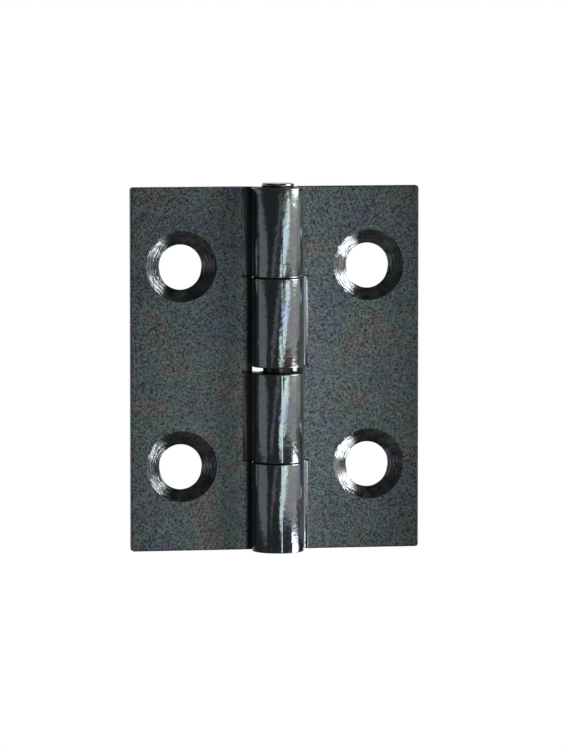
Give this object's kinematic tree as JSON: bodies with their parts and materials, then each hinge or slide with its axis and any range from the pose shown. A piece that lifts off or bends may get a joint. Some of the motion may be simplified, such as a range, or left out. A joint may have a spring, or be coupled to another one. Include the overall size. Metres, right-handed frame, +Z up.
{
  "type": "butt hinge",
  "caption": "Small butt hinge of rolled plated steel strip: two countersunk leaves that swing on a single pin.",
  "frame": {"origin": "on the pin's axis, half way up the whole hinge, the pin's proud end included", "axes": "+Z up along the pin, +X towards the right leaf; the countersunk faces look towards -Y and the backs towards +Y"},
  "size_m": [0.032, 0.0057, 0.0406],
  "materials": {
    "plated_leaf": "bright plated, dark and slightly grained",
    "plated_pin": "bright plated"
  },
  "bodies": {
    "fixed_leaf": {"left_leaf": "plated_leaf", "pin": "plated_pin"},
    "moving_leaf": {"right_leaf": "plated_leaf"}
  },
  "joints": [
    {"name": "leaf_swing", "type": "hinge", "parent": "fixed_leaf", "child": "moving_leaf", "pos_m": [0, 0, 0], "axis": [0, 0, -1], "range_deg": [-81, 190]}
  ]
}
